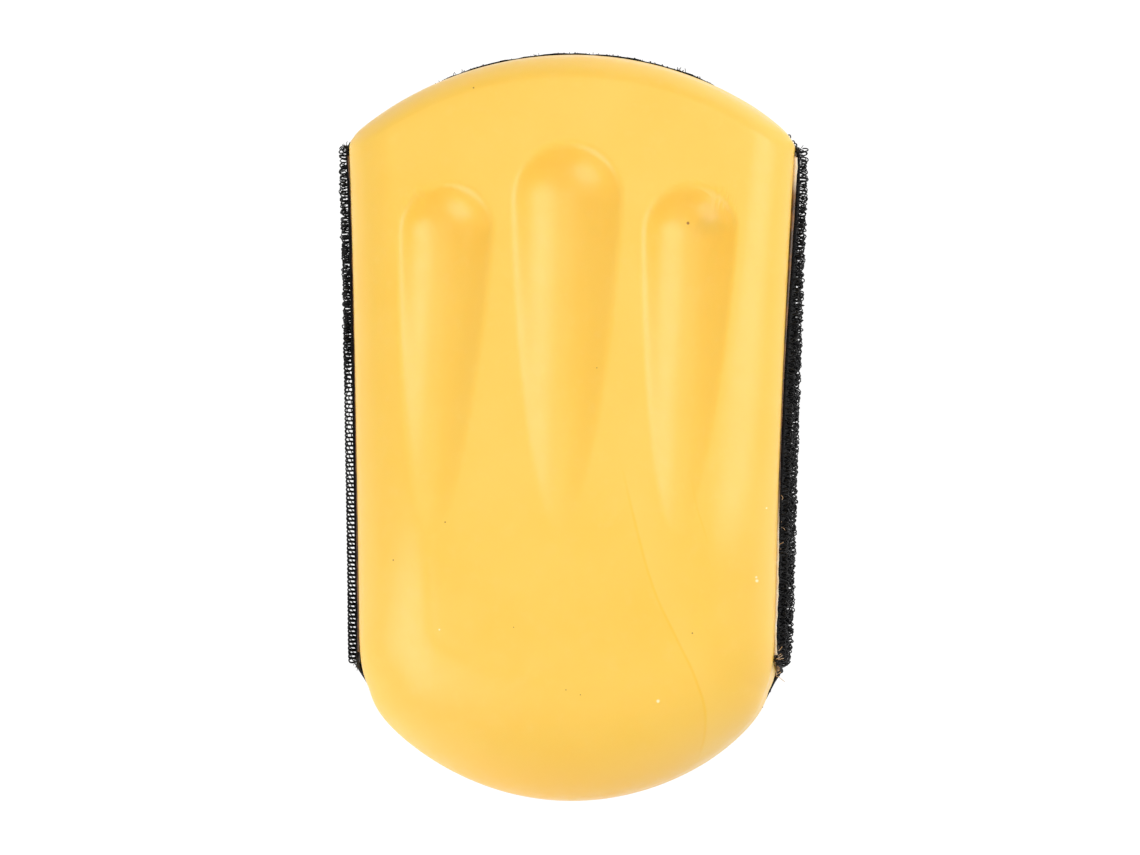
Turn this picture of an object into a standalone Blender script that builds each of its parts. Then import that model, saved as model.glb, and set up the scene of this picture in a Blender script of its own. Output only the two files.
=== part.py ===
"""Palm-held hand sanding block for round hook-and-loop discs.

A moulded foam body, shaped like a computer mouse, has three finger grooves in its sloping top.
A woven hook sheet is glued to its flat base and wrapped up both long sides, so that the edges
of a round disc can be folded up the flanks.

Metres. +Z is up, +Y points to the finger end and X = 0 is the plane of symmetry. The origin is
under the middle of the block, on the surface that the hooks rest on.
"""

import math

import bmesh
import bpy
from mathutils import Vector

# The layers glued to the foam, as distances out from its surface: (inner face, outer face).
FILM_LAYER = (0.00020, 0.00035)
GROUND_LAYER = (0.00055, 0.00100)
HOOK_LAYER = (0.00120, 0.00250)
BASE_Z = HOOK_LAYER[1]

# Plan outline: a front arc and a rear arc joined by sides that open a little to the front.
FRONT_RADIUS, FRONT_CENTRE_Y = 0.0571, 0.0054
REAR_RADIUS, REAR_CENTRE_Y = 0.0420, -0.0205
HALF_WIDTH = 0.0355
WIDTH_TAPER = 0.030
WIDTH_BOW = 0.22

# The rounded band between the waist, where the body is widest, and the plateau on top.
FRONT_BAND, REAR_BAND = 0.0050, 0.0230
SIDE_BAND_FRONT, SIDE_BAND_REAR = 0.0078, 0.0135
SIDE_BAND_FROM, SIDE_BAND_TO = -0.0350, 0.0480
CORNER_SOFT, CORNER_TIGHT, CORNER_POWER = 2.5, 8.0, 4

# Height of the waist above the ground plane, along the body.
WAIST_FRONT, WAIST_SIDE, WAIST_REAR = 0.0140, 0.0240, 0.0130
WAIST_RISE_FROM, WAIST_RISE_TO = -0.0620, -0.0340
WAIST_FALL_FROM, WAIST_FALL_TO = -0.0120, 0.0560

# The plateau: a straight slope up from the front, a palm crest, and a gentler fall behind it.
CREST_Z, CREST_Y, CREST_REACH = 0.0370, -0.0200, 0.0100
SLOPE_FRONT, SLOPE_REAR = 0.24, 0.16
CROWN = 1.5

# Below the waist: drafted walls, a wide rounding on the long edges and a small one at the ends.
WALL_DRAFT = math.radians(3)
SIDE_EDGE_RADIUS, END_EDGE_RADIUS = 0.0090, 0.0012

# The hook sheet: how far it stands out past the foam's ends, and its flaps' slanting ends.
OVERHANG_FRONT, OVERHANG_REAR = 0.0008, 0.0000
REAR_CORNER, REAR_CORNER_FROM, REAR_CORNER_TO = 0.0020, 0.0300, 0.0355
FLAP_FRONT_Y, FLAP_REAR_Y = 0.0465, -0.0385
FLAP_MARGIN = 0.0008

# Finger grooves: head x, head y, tip x, tip y, radius of the finger, depth at the head.
GROOVES = {
    "groove_cutter_middle": (0.0, 0.0380, -0.0006, -0.0145, 0.0096, 0.0056),
    "groove_cutter_left": (-0.0201, 0.0325, -0.0222, -0.0165, 0.0082, 0.0048),
    "groove_cutter_right": (0.0201, 0.0325, 0.0192, -0.0155, 0.0082, 0.0048),
}
GROOVE_RUN_OUT = 0.012

# Mesh fineness: rings from the middle of the top to the waist, and steps around a rounding.
RINGS = 14
PLATEAU_RINGS = 6
PLATEAU_TURN = math.radians(84)
ROUNDING_STEPS = 6
BASE_STATIONS = 3
LENGTH_STEPS = 20
FINGER_SEGMENTS, FINGER_RINGS = 48, 16
TINY = 1e-5

# How a contour is found by halving a span, and how often a sheet point's Y is settled.
SEARCH_REACH, HALVINGS = 0.0800, 40
SETTLINGS = 8

# Colour and roughness of each solid.
FOAM_LOOK = ((0.95, 0.62, 0.10), 0.45)
FILM_LOOK = ((0.75, 0.66, 0.45), 0.35)
GROUND_LOOK = ((0.012, 0.012, 0.013), 0.80)
HOOK_LOOK = ((0.020, 0.020, 0.022), 0.60)
CUTTER_LOOK = ((0.50, 0.50, 0.50), 0.50)


def smooth(value, start, end):
    """0 before start, 1 after end, and an S curve between."""
    t = min(1.0, max(0.0, (value - start) / (end - start)))
    return t * t * (3 - 2 * t)


def half_width(y):
    return HALF_WIDTH + WIDTH_TAPER * y + WIDTH_BOW * y * y


def waist_z(y):
    rise = (WAIST_SIDE - WAIST_REAR) * smooth(y, WAIST_RISE_FROM, WAIST_RISE_TO)
    fall = (WAIST_SIDE - WAIST_FRONT) * smooth(y, WAIST_FALL_FROM, WAIST_FALL_TO)
    return WAIST_REAR + rise - fall


def plateau_z(x, y):
    slope = SLOPE_FRONT if y > CREST_Y else SLOPE_REAR
    return CREST_Z - slope * (math.hypot(y - CREST_Y, CREST_REACH) - CREST_REACH) - CROWN * x * x


def end_y(x, out=0.0):
    """Where the front and rear arcs stand at this x, moved out by a distance."""
    front = FRONT_CENTRE_Y + math.sqrt(max(0.0, (FRONT_RADIUS + out) ** 2 - x * x))
    rear = REAR_CENTRE_Y - math.sqrt(max(0.0, (REAR_RADIUS + out) ** 2 - x * x))
    return front, rear


def reach(radius, height):
    """How far a drafted wall on a rounded foot stands out from where the rounding starts."""
    turn = math.pi / 2 + WALL_DRAFT
    rounding_top = radius * (1 - math.cos(turn))
    if height < rounding_top:
        return math.sqrt(radius**2 - (radius - height) ** 2)
    return radius * math.sin(turn) - (height - rounding_top) * math.tan(WALL_DRAFT)


def outward(radius, height, y):
    """How much wider the wall is at this height above the base than it is at the waist."""
    return reach(radius, height) - reach(radius, waist_z(y) - BASE_Z)


def edge_closeness(x, y, height=None):
    """0 on the plateau and 1 on the outline: a soft maximum over the front, rear and side.

    The outline is the waist's or, where a height above the base is given, the wall's there."""
    side_out = end_out = 0.0
    if height is not None:
        side_out = outward(SIDE_EDGE_RADIUS, height, y)
        end_out = outward(END_EDGE_RADIUS, height, y)
    front_y, rear_y = end_y(x, end_out)
    to_front = smooth(y, SIDE_BAND_FROM, SIDE_BAND_TO)
    side_band = SIDE_BAND_REAR + (SIDE_BAND_FRONT - SIDE_BAND_REAR) * to_front
    near = (
        max(0.0, 1 - (front_y - y) / FRONT_BAND),
        max(0.0, 1 - (y - rear_y) / REAR_BAND),
        max(0.0, 1 - (half_width(y) + side_out - abs(x)) / side_band),
    )
    most = max(near)
    if most == 0:
        return 0.0
    power = CORNER_SOFT + (CORNER_TIGHT - CORNER_SOFT) * min(1.0, most) ** CORNER_POWER
    return most * sum((part / most) ** power for part in near) ** (1 / power)


def contour_point(angle, level, height=None):
    """The point in this direction from the middle at which edge_closeness reaches the level."""
    inner, outer = 0.0, SEARCH_REACH
    for _ in range(HALVINGS):
        radius = (inner + outer) / 2
        if edge_closeness(radius * math.cos(angle), radius * math.sin(angle), height) < level:
            inner = radius
        else:
            outer = radius
    return inner * math.cos(angle), inner * math.sin(angle)


def top_point(ring, angle):
    """The foam's upper surface, from the middle of the plateau out to the waist."""
    if ring > PLATEAU_RINGS:
        turn = (RINGS - ring) / (RINGS - PLATEAU_RINGS) * PLATEAU_TURN
        x, y = contour_point(angle, math.cos(turn))
    else:
        x, y = (part * ring / PLATEAU_RINGS for part in contour_point(angle, math.cos(PLATEAU_TURN)))
    share = 0.0
    if ring < RINGS:
        share = math.sqrt(1 - min(1.0, edge_closeness(x, y)) ** 2)
    low = waist_z(y)
    return x, y, low + (plateau_z(x, y) - low) * share


def wall_point(angle, height):
    return *contour_point(angle, 1.0, height), BASE_Z + height


def ring_and_angle(x, y):
    """Which square ring of the unit grid a point is on, and its direction once the ring is round."""
    ring = round(max(abs(x), abs(y)) * RINGS)
    if ring == 0:
        return 0, 0.0
    if abs(x) >= abs(y):
        return ring, math.pi / 4 * y / x + (0 if x > 0 else math.pi)
    return ring, math.pi / 2 - math.pi / 4 * x / y + (0 if y > 0 else math.pi)


def unit_grid(mesh):
    """Adds a grid from -1 to 1, and returns (vertex, ring, angle) for each of its vertices."""
    made = bmesh.ops.create_grid(mesh, x_segments=2 * RINGS, y_segments=2 * RINGS, size=1)
    return [(vert, *ring_and_angle(vert.co.x, vert.co.y)) for vert in made["verts"]]


def add_object(name, mesh, collection, look):
    data = bpy.data.meshes.new(name)
    bmesh.ops.recalc_face_normals(mesh, faces=mesh.faces)
    mesh.to_mesh(data)
    mesh.free()
    data.shade_smooth()
    material = bpy.data.materials.new(name)
    material.use_nodes = True
    shader = material.node_tree.nodes["Principled BSDF"]
    colour, roughness = look
    shader.inputs["Base Color"].default_value = (*colour, 1)
    shader.inputs["Roughness"].default_value = roughness
    shader.inputs["Metallic"].default_value = 0
    data.materials.append(material)
    made = bpy.data.objects.new(name, data)
    collection.objects.link(made)
    return made


def foam_body(collection):
    """The upper grid is mapped to the plateau and shoulders, and its rim is lofted to the base."""
    mesh = bmesh.new()
    rim = []
    for vert, ring, angle in unit_grid(mesh):
        vert.co = top_point(ring, angle)
        if ring == RINGS:
            rim.append((angle, vert))
    rim.sort(key=lambda pair: pair[0])
    above = [vert for _, vert in rim]
    for step in range(ROUNDING_STEPS, -1, -1):
        height = SIDE_EDGE_RADIUS * (1 - math.cos(step / ROUNDING_STEPS * math.pi / 2))
        below = [mesh.verts.new(wall_point(angle, height)) for angle, _ in rim]
        for i in range(len(below)):
            j = (i + 1) % len(below)
            mesh.faces.new((above[i], below[i], below[j], above[j]))
        above = below
    bmesh.ops.triangulate(mesh, faces=mesh.faces, quad_method="SHORT_EDGE")
    mesh.faces.new(above)
    return add_object("foam_body", mesh, collection, FOAM_LOOK)


def groove_cutter(name, shape, collection):
    """A finger: a sphere drawn out along its axis, sunk at its head and level with the top at its tip."""
    head_x, head_y, tip_x, tip_y, radius, depth = shape
    head = Vector((head_x, head_y, plateau_z(head_x, head_y) - depth + radius))
    tip = Vector((tip_x, tip_y, plateau_z(tip_x, tip_y) + radius))
    axis = tip - head
    mesh = bmesh.new()
    bmesh.ops.create_uvsphere(
        mesh, u_segments=FINGER_SEGMENTS, v_segments=FINGER_RINGS, radius=radius
    )
    for vert in mesh.verts:
        if vert.co.z > TINY:
            vert.co.z += axis.length + GROOVE_RUN_OUT
    cutter = add_object(name, mesh, collection, CUTTER_LOOK)
    cutter.location = head
    cutter.rotation_mode = "QUATERNION"
    cutter.rotation_quaternion = axis.to_track_quat("Z", "Y")
    cutter.hide_render = True
    cutter.display_type = "WIRE"
    return cutter


def cut_grooves(body, cutters):
    for name, shape in GROOVES.items():
        cut = body.modifiers.new(name, "BOOLEAN")
        cut.operation = "DIFFERENCE"
        cut.object = groove_cutter(name, shape, cutters)


def sheet_point(station, along, out):
    """A point of the hook sheet, moved out from the foam.

    The station counts across the sheet, signed by its side: over the flat base, around the long
    edge and up the flank, whose top is the last one. Along runs from the rear end to the front."""
    side = math.copysign(1, station)
    past_base = max(0, abs(station) - BASE_STATIONS)
    turn = min(past_base, ROUNDING_STEPS) / ROUNDING_STEPS * math.pi / 2
    on_wall = past_base > ROUNDING_STEPS
    y = 0.0
    for _ in range(SETTLINGS):
        height = SIDE_EDGE_RADIUS * (1 - math.cos(turn))
        if on_wall:
            height = waist_z(y) - BASE_Z - FLAP_MARGIN
        x = half_width(y) + outward(SIDE_EDGE_RADIUS, height, y)
        if past_base == 0:
            x *= abs(station) / BASE_STATIONS
        front, rear = end_y(x)
        front += OVERHANG_FRONT
        rear += REAR_CORNER * smooth(x, REAR_CORNER_FROM, REAR_CORNER_TO) - OVERHANG_REAR
        if on_wall:
            front, rear = FLAP_FRONT_Y, FLAP_REAR_Y
        y = rear + (front - rear) * along
    tilt = math.pi / 2 + WALL_DRAFT if on_wall else turn
    return side * (x + out * math.sin(tilt)), y, BASE_Z + height - out * math.cos(tilt)


def sheet_layer(name, layer, collection, look):
    """One layer of the glued sheet: its inner and outer faces are mapped grids, joined at the rim."""
    stations = BASE_STATIONS + ROUNDING_STEPS + 1
    mesh = bmesh.new()
    rims = []
    for out in layer:
        made = bmesh.ops.create_grid(mesh, x_segments=2 * stations, y_segments=LENGTH_STEPS, size=1)
        face_verts = made["verts"]
        rims += [edge for edge in {e for v in face_verts for e in v.link_edges} if edge.is_boundary]
        for vert in face_verts:
            station = round(vert.co.x * stations)
            along = 0.5 + 0.5 * math.sin(math.pi / 2 * vert.co.y)
            vert.co = sheet_point(station, along, out)
    bmesh.ops.bridge_loops(mesh, edges=rims)
    return add_object(name, mesh, collection, look)


def main():
    for old in list(bpy.data.objects):
        bpy.data.objects.remove(old, do_unlink=True)
    parts = bpy.data.collections.new("hand_sanding_block")
    cutters = bpy.data.collections.new("cutters")
    for collection in (parts, cutters):
        bpy.context.scene.collection.children.link(collection)

    body = foam_body(parts)
    cut_grooves(body, cutters)
    sheet_layer("adhesive_film", FILM_LAYER, parts, FILM_LOOK)
    sheet_layer("hook_sheet_ground", GROUND_LAYER, parts, GROUND_LOOK)
    sheet_layer("hook_pile", HOOK_LAYER, parts, HOOK_LOOK)


main()
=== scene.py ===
"""Looks of a palm-held hand sanding block: a moulded foam body with three finger grooves, and a
black hook sheet glued under it and up both flanks.

Metres. +Z is up and +Y points to the finger end. The surfaces repeat the formulas of the CAD model
at a finer pitch, so that every piece lies where its CAD solid is.
"""

import math

import bmesh
import bpy
import numpy as np
from mathutils import Matrix, Vector


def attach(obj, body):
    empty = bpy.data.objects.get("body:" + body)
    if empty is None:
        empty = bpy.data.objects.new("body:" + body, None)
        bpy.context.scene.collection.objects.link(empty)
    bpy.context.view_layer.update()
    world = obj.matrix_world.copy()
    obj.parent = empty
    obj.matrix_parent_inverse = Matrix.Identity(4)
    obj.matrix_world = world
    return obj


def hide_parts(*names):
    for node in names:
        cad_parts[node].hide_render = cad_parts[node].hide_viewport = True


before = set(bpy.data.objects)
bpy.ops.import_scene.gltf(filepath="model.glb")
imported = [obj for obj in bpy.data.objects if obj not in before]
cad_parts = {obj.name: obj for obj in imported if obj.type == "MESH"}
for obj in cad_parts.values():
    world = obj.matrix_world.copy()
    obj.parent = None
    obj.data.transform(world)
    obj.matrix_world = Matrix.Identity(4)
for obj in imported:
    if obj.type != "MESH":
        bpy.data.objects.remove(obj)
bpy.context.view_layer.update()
MM = 0.001
SEED = 7
TINY = 1e-12


def rgb(red, green, blue):
    return red, green, blue, 1.0


# ---------------------------------------------------------------- the body's driving dimensions
BASE_Z = 2.5 * MM
FRONT_RADIUS, FRONT_CENTRE_Y = 57.1 * MM, 5.4 * MM
REAR_RADIUS, REAR_CENTRE_Y = 42.0 * MM, -20.5 * MM
HALF_WIDTH, WIDTH_TAPER, WIDTH_BOW = 35.5 * MM, 0.030, 0.22
FRONT_BAND, REAR_BAND = 4.2 * MM, 23.0 * MM
SIDE_BAND_FRONT, SIDE_BAND_REAR = 7.8 * MM, 13.5 * MM
SIDE_BAND_FROM, SIDE_BAND_TO = -35 * MM, 48 * MM
CORNER_SOFT, CORNER_TIGHT, CORNER_POWER = 2.5, 8.0, 4
WAIST_FRONT, WAIST_SIDE, WAIST_REAR = 14.0 * MM, 24.0 * MM, 13.0 * MM
WAIST_RISE_FROM, WAIST_RISE_TO = -62 * MM, -34 * MM
WAIST_FALL_FROM, WAIST_FALL_TO = -12 * MM, 56 * MM
CREST_Z, CREST_Y, CREST_REACH = 37.0 * MM, -20.0 * MM, 10.0 * MM
SLOPE_FRONT, SLOPE_REAR, CROWN = 0.24, 0.16, 1.5
WALL_DRAFT = math.radians(3)
SIDE_EDGE_RADIUS, END_EDGE_RADIUS = 9.0 * MM, 1.2 * MM

# Finger grooves: head x, head y, tip x, tip y, radius of the finger, depth at the head.
GROOVES = (
    (-0.3 * MM, 38.6 * MM, -0.9 * MM, -16.5 * MM, 9.4 * MM, 5.4 * MM),
    (-20.5 * MM, 33.0 * MM, -22.3 * MM, -18.0 * MM, 8.0 * MM, 4.6 * MM),
    (20.3 * MM, 33.0 * MM, 18.7 * MM, -17.5 * MM, 8.0 * MM, 4.6 * MM),
)
LIP_SHARE, LIP_LEAST = 0.60, 0.06 * MM  # how far the groove's rim is rounded over
CREASE_DEPTH, CREASE_AT, CREASE_WIDE = 0.08 * MM, 0.07, 0.05
CREASE_FROM, CREASE_FULL = 12 * MM, 28 * MM  # how far behind the middle the crease sets in
RAMP_SOFT = 0.22  # how softly the plateau turns into the rounded band round it
SEARCH_REACH, HALVINGS = 80 * MM, 36  # how contour points are found

# Marks left in the skin, in millimetres. Lines where two streams of foam met: (y, x) from the front
# to the rear, the width of the dark line, and how much paler the skin is on its right.
FLOW_LINES = (
    (
        ((-3, 8.7), (-17, 12.1), (-26, 14.7), (-35, 18.8), (-42, 22), (-48, 23.4), (-53, 22.7), (-58, 18)),
        0.45,
        0.5,
    ),
    (((-6, 20.6), (-12, 21.7), (-16, 22.9), (-20, 24.3)), 0.35, 0.0),
)
# Pinholes and pale specks: x, y, radius.
PINHOLES = (
    (19.8, 34.5, 0.27),
    (21.3, -33.8, 0.14),
    (-19.9, -15.6, 0.13),
    (-28.6, -22.0, 0.14),
    (0.3, -43.4, 0.11),
    (2.7, -44.2, 0.11),
    (-16.3, 57.0, 0.14),
    (5.0, 10.2, 0.10),
    (-8.4, -33.0, 0.10),
)
PALE_SPECKS = (
    (15.6, -45.2, 0.30),
    (31.9, -25.1, 0.28),
    (31.8, -24.5, 0.20),
    (33.4, -13.0, 0.16),
    (-20.8, -33.5, 0.16),
)

# ---------------------------------------------------------------- the glued sheet
SHEET_THICK = 0.45 * MM
GLUE_THICK = 0.15 * MM
HOOK_HEIGHT = 1.40 * MM
BASE_LIFT = BASE_Z - SHEET_THICK - GLUE_THICK - HOOK_HEIGHT  # thicker glue under the flat base
BASE_LIFT_FADE = 7 * MM  # over how much of the rounding the thicker glue runs out
# The right flank's lower part stands off the foam: how far, between which distances up the sheet
# it sets in and ends, and where along the body.
RIGHT_BULGE = 0.55 * MM
BULGE_SETS_IN, BULGE_ENDS = (2 * MM, 11 * MM), (15 * MM, 26 * MM)
BULGE_REAR, BULGE_FRONT = (-44 * MM, -30 * MM), (38 * MM, 52 * MM)
# Past the foam's front end the sheet stands out, less so towards its corners.
OVERHANG_FRONT, OVERHANG_LOSS = 0.85 * MM, 0.55
OVERHANG_FROM, OVERHANG_TO = 20 * MM, 27 * MM
FRONT_CORNER, FRONT_CORNER_FROM, FRONT_CORNER_TO = 1.5 * MM, 28.0 * MM, 36.0 * MM
REAR_CORNER, REAR_CORNER_FROM, REAR_CORNER_TO = 2.8 * MM, 30.0 * MM, 35.5 * MM
FLAP_FRONT_Y, FLAP_REAR_Y, FLAP_MARGIN = 46.5 * MM, -38.5 * MM, 0.8 * MM
CUT_WOBBLE, CUT_PITCH = 0.12 * MM, 9 * MM  # how unevenly the blank's ends were cut
TOP_WOBBLE, TOP_PITCH = 0.10 * MM, 12 * MM  # and its long edges
LEAST_FLAP = 0.1 * MM
# The glue film: how far it shows past the flaps' tops and stops short of the cut ends, its bead's
# thickness and depth, and the pitches of the bead's swellings.
GLUE_PAST, GLUE_SHORT = 0.30 * MM, 0.9 * MM
BEAD_THICK, BEAD_DEPTH = 0.50 * MM, 0.8 * MM
BEAD_PITCH, BEAD_FINE_PITCH = 21 * MM, 3.5 * MM
BEAD_LEFT, BEAD_CORNER = 0.45, 0.8  # how strong it is on the left, and at the front corners
BEAD_REAR_FROM, BEAD_REAR_TO = -2 * MM, 30 * MM
BEAD_CORNER_FROM, BEAD_CORNER_TO = 40 * MM, 46 * MM
GLUE_SINK, GLUE_PROUD = 0.05 * MM, 0.02 * MM
FULL_TURN = math.pi / 2 + WALL_DRAFT
TURN_LENGTH = SIDE_EDGE_RADIUS * FULL_TURN


# ================================================================ shared formulas
def smooth(value, start, end):
    """0 before start, 1 after end, and an S curve between."""
    t = np.clip((value - start) / (end - start), 0, 1)
    return t * t * (3 - 2 * t)


def soft_positive(value, lip):
    """The value where it is over the lip, 0 under minus the lip, and C2 smooth between."""
    u = np.clip((value / lip + 1) / 2, 0, 1)
    return np.where(value > lip, value, lip * (2 * u**3 - u**4))


def half_width(y):
    return HALF_WIDTH + WIDTH_TAPER * y + WIDTH_BOW * y * y


def waist_z(y):
    rise = (WAIST_SIDE - WAIST_REAR) * smooth(y, WAIST_RISE_FROM, WAIST_RISE_TO)
    fall = (WAIST_SIDE - WAIST_FRONT) * smooth(y, WAIST_FALL_FROM, WAIST_FALL_TO)
    return WAIST_REAR + rise - fall


def plateau_z(x, y):
    slope = np.where(y > CREST_Y, SLOPE_FRONT, SLOPE_REAR)
    return CREST_Z - slope * (np.hypot(y - CREST_Y, CREST_REACH) - CREST_REACH) - CROWN * x * x


def end_y(x, out=0.0):
    """Where the front and rear arcs stand at this x, moved out by a distance."""
    front = FRONT_CENTRE_Y + np.sqrt(np.maximum(0, (FRONT_RADIUS + out) ** 2 - x * x))
    rear = REAR_CENTRE_Y - np.sqrt(np.maximum(0, (REAR_RADIUS + out) ** 2 - x * x))
    return front, rear


def reach(radius, height):
    """How far a drafted wall on a rounded foot stands out from where the rounding starts."""
    top = radius * (1 - math.cos(FULL_TURN))
    on_foot = np.sqrt(np.maximum(0, radius**2 - (radius - height) ** 2))
    on_wall = radius * math.sin(FULL_TURN) - (height - top) * math.tan(WALL_DRAFT)
    return np.where(height < top, on_foot, on_wall)


def outward(radius, height, y):
    """How much wider the wall is at this height above the base than it is at the waist."""
    return reach(radius, height) - reach(radius, waist_z(y) - BASE_Z)


def edge_closeness(x, y, height=None):
    """0 on the plateau and 1 on the outline: a soft maximum over the front, rear and side."""
    side_out = end_out = 0.0
    if height is not None:
        side_out = outward(SIDE_EDGE_RADIUS, height, y)
        end_out = outward(END_EDGE_RADIUS, height, y)
    front_y, rear_y = end_y(x, end_out)
    to_front = smooth(y, SIDE_BAND_FROM, SIDE_BAND_TO)
    side_band = SIDE_BAND_REAR + (SIDE_BAND_FRONT - SIDE_BAND_REAR) * to_front
    near = np.stack(
        [
            1 - (front_y - y) / FRONT_BAND,
            1 - (y - rear_y) / REAR_BAND,
            1 - (half_width(y) + side_out - np.abs(x)) / side_band,
        ]
    )
    near = soft_positive(near, RAMP_SOFT)
    most = np.maximum(near.max(axis=0), TINY)
    power = CORNER_SOFT + (CORNER_TIGHT - CORNER_SOFT) * np.minimum(1, most) ** CORNER_POWER
    return most * ((near / most) ** power).sum(axis=0) ** (1 / power)


def contour_point(angle, level, height=None):
    """The point in this direction from the middle at which edge_closeness reaches the level."""
    inner, outer = np.zeros_like(angle), np.full_like(angle, SEARCH_REACH)
    across, along = np.cos(angle), np.sin(angle)
    for _ in range(HALVINGS):
        radius = (inner + outer) / 2
        inside = edge_closeness(radius * across, radius * along, height) < level
        inner, outer = np.where(inside, radius, inner), np.where(inside, outer, radius)
    return inner * across, inner * along


def groove_depth(x, y, groove):
    """How far a finger presses in at a point: a ball at the head, drawn out to the tip as it rises."""
    head_x, head_y, tip_x, tip_y, radius, depth = groove
    plan = math.hypot(tip_x - head_x, tip_y - head_y)
    axis_x, axis_y = (tip_x - head_x) / plan, (tip_y - head_y) / plan
    run = (x - head_x) * axis_x + (y - head_y) * axis_y
    aside = (x - head_x) * axis_y - (y - head_y) * axis_x
    squared = radius**2 - aside**2 - np.minimum(0, run) ** 2
    local = depth * np.clip(1 - run / plan, 0, 1)
    pressed = local - radius + np.sqrt(np.maximum(0, squared))
    return soft_positive(pressed, LIP_LEAST + LIP_SHARE * local)


def top_z(x, y):
    """The foam's upper surface over a point of the plan, with its grooves and the faint crease
    where the palm crest starts to fall to the rear."""
    close = edge_closeness(x, y)
    share = np.sqrt(np.maximum(0, 1 - np.minimum(1, close) ** 2))
    low = waist_z(y)
    z = low + (plateau_z(x, y) - low) * share
    crease = CREASE_DEPTH * np.exp(-(((close - CREASE_AT) / CREASE_WIDE) ** 2))
    z = z - crease * smooth(-y, CREASE_FROM, CREASE_FULL)
    for groove in GROOVES:
        z = z - groove_depth(x, y, groove)
    return z


OCTAVES, FINER, WEAKER, WAVE_TOTAL = 4, 1.9, 1.5, 2.2


def wobble(t, pitch, seed):
    """A smooth irregular wave of about -1 to 1, the same each run."""
    random = np.random.default_rng(seed)
    total = 0.0
    for octave in range(OCTAVES):
        scale, turn = random.uniform(0.7, 1.3), random.uniform(0, 2 * math.pi)
        total = total + np.sin(2 * math.pi * t / pitch * FINER**octave * scale + turn) / WEAKER**octave
    return total / WAVE_TOTAL


# ================================================================ meshes
def make_object(name, verts, faces, material, smooth_shading=True):
    """A mesh object from an array of points and one or more arrays of faces."""
    mesh = bpy.data.meshes.new(name)
    faces = faces if isinstance(faces, list) else [faces]
    corners = np.concatenate([f.ravel() for f in faces])
    totals = np.concatenate([np.full(len(f), f.shape[1]) for f in faces])
    mesh.vertices.add(len(verts))
    mesh.vertices.foreach_set("co", np.asarray(verts, np.float32).ravel())
    mesh.loops.add(len(corners))
    mesh.loops.foreach_set("vertex_index", corners.astype(np.int32))
    mesh.polygons.add(len(totals))
    mesh.polygons.foreach_set("loop_start", (np.cumsum(totals) - totals).astype(np.int32))
    mesh.update(calc_edges=True)
    mesh.validate()
    if smooth_shading:
        mesh.shade_smooth()
    mesh.materials.append(material)
    made = bpy.data.objects.new(name, mesh)
    bpy.context.scene.collection.objects.link(made)
    return made


def grid_faces(rows, columns, start=0, flip=False):
    """Quads of a grid whose points are numbered row by row."""
    r, c = np.meshgrid(np.arange(rows - 1), np.arange(columns - 1), indexing="ij")
    corner = start + (r * columns + c).ravel()
    quads = np.stack([corner, corner + 1, corner + columns + 1, corner + columns], axis=1)
    return quads[:, ::-1] if flip else quads


def grid_rim(rows, columns):
    """The numbers of a grid's edge points, in order round it."""
    return np.concatenate(
        [
            np.arange(columns - 1),
            np.arange(rows - 1) * columns + columns - 1,
            (rows - 1) * columns + np.arange(columns - 1, 0, -1),
            np.arange(rows - 1, 0, -1) * columns,
        ]
    )


def shell_object(name, outer, inner, material):
    """A thin closed piece from two grids of the same size, joined round their edges."""
    rows, columns = outer.shape[:2]
    count = rows * columns
    rim = grid_rim(rows, columns)
    after = np.roll(rim, -1)
    band = np.stack([after, rim, rim + count, after + count], axis=1)
    faces = [grid_faces(rows, columns), grid_faces(rows, columns, count, flip=True), band]
    points = np.concatenate([outer.reshape(-1, 3), inner.reshape(-1, 3)])
    return make_object(name, points, faces, material)


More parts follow.
